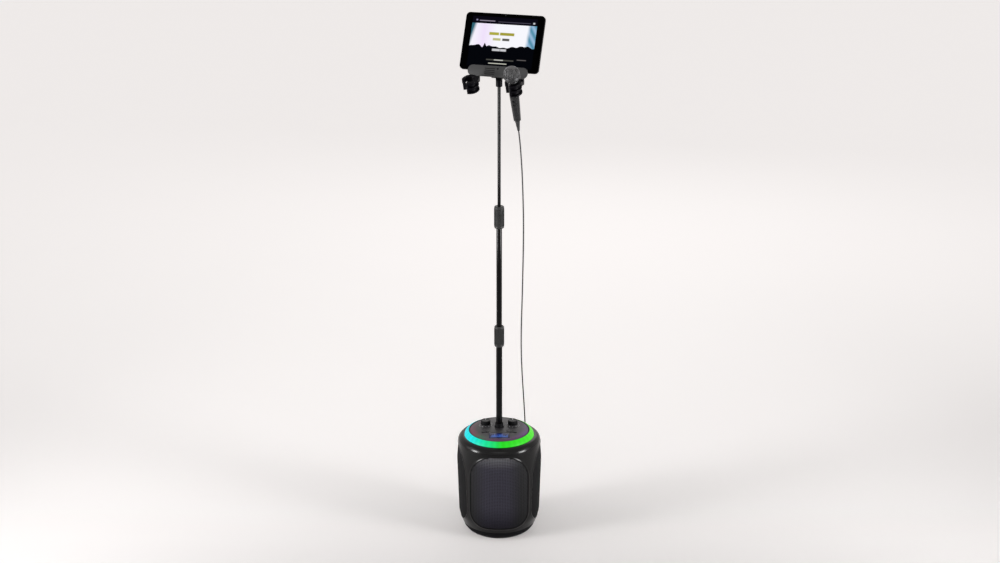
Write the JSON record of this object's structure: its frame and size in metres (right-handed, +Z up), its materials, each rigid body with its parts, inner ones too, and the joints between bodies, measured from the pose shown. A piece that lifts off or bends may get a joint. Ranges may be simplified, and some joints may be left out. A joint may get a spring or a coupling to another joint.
{
  "type": "karaoke speaker with pole and tablet cradle",
  "caption": "Barrel karaoke speaker with a light ring, telescopic pole, tilting tablet cradle, microphone clips and a wired microphone.",
  "frame": {"origin": "centre of the rubber pad's underside, on the floor, on the pole's axis", "axes": "+Z up along the pole, -Y towards the front grille, +X to the right as seen from the front"},
  "size_m": [0.2646, 0.3679, 1.6087],
  "materials": {
    "rubber": "matte moulded rubber",
    "foot": "matte black",
    "gloss_black": "high gloss black",
    "grille": "fine perforated, satin",
    "deck": "satin black",
    "diffuser": "milky, lit from below",
    "circuit": "solder-masked board",
    "frame_steel": "black painted steel",
    "cone": "pressed paper",
    "magnet": "bare ferrite",
    "battery": "shrink sleeve",
    "knob": "satin black, ribbed",
    "button": "matte black",
    "window": "smoked, lit blue from behind",
    "steel": "bright",
    "tube_black": "gloss black lacquer",
    "collar": "fine ribbed black",
    "nylon": "natural nylon",
    "cradle": "dark grey, fine grained",
    "clip": "black, fine grained",
    "tablet_case": "anodised dark",
    "tablet_glass": "black bordered glass",
    "screen": "lit panel",
    "mic_body": "satin charcoal",
    "mic_grille": "woven wire",
    "cord": "smooth black sheath"
  },
  "bodies": {
    "base": {"rubber_pad": "rubber", "foot_ring": "foot", "foot_screws": "steel", "body_shell": "gloss_black", "front_grille": "grille", "left_panel": "grille", "right_panel": "grille", "rear_panel": "foot", "jack_tray": "foot", "top_deck": "deck", "light_ring": "diffuser", "led_board": "circuit", "baffle": "foot", "woofer_frame": "frame_steel", "woofer_cone": "cone", "woofer_magnet": "magnet", "battery_pack": "battery", "amplifier_board": "circuit", "control_board": "circuit", "display_window": "window", "potentiometers": "frame_steel", "pole_socket": "tube_black", "lower_tube": "tube_black", "lower_collet": "nylon", "mic_jacks": "foot", "dc_inlet": "foot", "mic_plug": "cord", "cord_lower": "cord", "cord_back": "cord", "cord_coil": "cord", "cord_tail": "cord"},
    "left_knob_body": {"left_knob": "knob"},
    "right_knob_body": {"right_knob": "knob"},
    "left_button_1_body": {"left_button_1": "button"},
    "left_button_2_body": {"left_button_2": "button"},
    "right_button_1_body": {"right_button_1": "button"},
    "right_button_2_body": {"right_button_2": "button"},
    "power_switch_body": {"power_switch": "button"},
    "lower_collar_body": {"lower_collar": "collar"},
    "middle": {"middle_tube": "tube_black", "upper_collet": "nylon", "cord_upper": "cord"},
    "upper_collar_body": {"upper_collar": "collar"},
    "upper": {"upper_tube": "tube_black", "guide_bush": "nylon"},
    "head": {"swivel_head": "clip", "cross_rod": "steel", "left_clip": "clip", "right_clip": "clip", "cord_top": "cord"},
    "cradle_body": {"cradle": "cradle", "cradle_pad": "rubber"},
    "tablet": {"tablet_housing": "tablet_case", "tablet_glass": "tablet_glass", "tablet_screen": "screen"},
    "microphone": {"mic_handle": "mic_body", "mic_grille": "mic_grille", "mic_boot": "rubber"},
    "mic_switch_body": {"mic_switch": "button"}
  },
  "joints": [
    {"name": "left_knob_turn", "type": "hinge", "parent": "base", "child": "left_knob_body", "pos_m": [-0.042, 0.021, 0.345], "axis": [0, 0, 1], "range_deg": [-140, 140]},
    {"name": "right_knob_turn", "type": "hinge", "parent": "base", "child": "right_knob_body", "pos_m": [0.042, 0.021, 0.345], "axis": [0, 0, 1], "range_deg": [-140, 140]},
    {"name": "left_button_1_press", "type": "slide", "parent": "base", "child": "left_button_1_body", "axis": [0, 0, -1], "range_m": [0, 0.0012], "stiffness_N_per_m": 600},
    {"name": "left_button_2_press", "type": "slide", "parent": "base", "child": "left_button_2_body", "axis": [0, 0, -1], "range_m": [0, 0.0012], "stiffness_N_per_m": 600},
    {"name": "right_button_1_press", "type": "slide", "parent": "base", "child": "right_button_1_body", "axis": [0, 0, -1], "range_m": [0, 0.0012], "stiffness_N_per_m": 600},
    {"name": "right_button_2_press", "type": "slide", "parent": "base", "child": "right_button_2_body", "axis": [0, 0, -1], "range_m": [0, 0.0012], "stiffness_N_per_m": 600},
    {"name": "power_switch_rock", "type": "hinge", "parent": "base", "child": "power_switch_body", "pos_m": [0.042, 0.1105, 0.088], "axis": [1, 0, 0], "range_deg": [-8, 8]},
    {"name": "lower_collar_twist", "type": "hinge", "parent": "base", "child": "lower_collar_body", "pos_m": [0, 0, 0.638], "axis": [0, 0, 1], "range_deg": [0, 90]},
    {"name": "lower_slide", "type": "slide", "parent": "base", "child": "middle", "axis": [0, 0, 1], "range_m": [-0.29, 0], "deforming": ["cord_lower"]},
    {"name": "upper_collar_twist", "type": "hinge", "parent": "middle", "child": "upper_collar_body", "pos_m": [0, 0, 1.015], "axis": [0, 0, 1], "range_deg": [0, 90]},
    {"name": "upper_slide", "type": "slide", "parent": "middle", "child": "upper", "axis": [0, 0, 1], "range_m": [-0.34, 0], "deforming": ["cord_upper"]},
    {"name": "head_swivel", "type": "hinge", "parent": "upper", "child": "head", "pos_m": [0, 0, 1.42], "axis": [0, 0, 1], "range_deg": [-41, 78], "deforming": ["cord_top"]},
    {"name": "cradle_tilt", "type": "hinge", "parent": "head", "child": "cradle_body", "pos_m": [0, 0, 1.44], "axis": [-0.9472, 0.3206, 0], "range_deg": [-20, 35]},
    {"name": "tablet_lift", "type": "slide", "parent": "cradle_body", "child": "tablet", "axis": [0.135, 0.3988, 0.907], "range_m": [0, 0.15]},
    {"name": "mic_lift", "type": "slide", "parent": "head", "child": "microphone", "axis": [-0.1097, -0.324, 0.9397], "range_m": [0, 0.12]},
    {"name": "mic_switch_slide", "type": "slide", "parent": "microphone", "child": "mic_switch_body", "axis": [-0.1097, -0.324, 0.9397], "range_m": [-0.003, 0.003]}
  ]
}
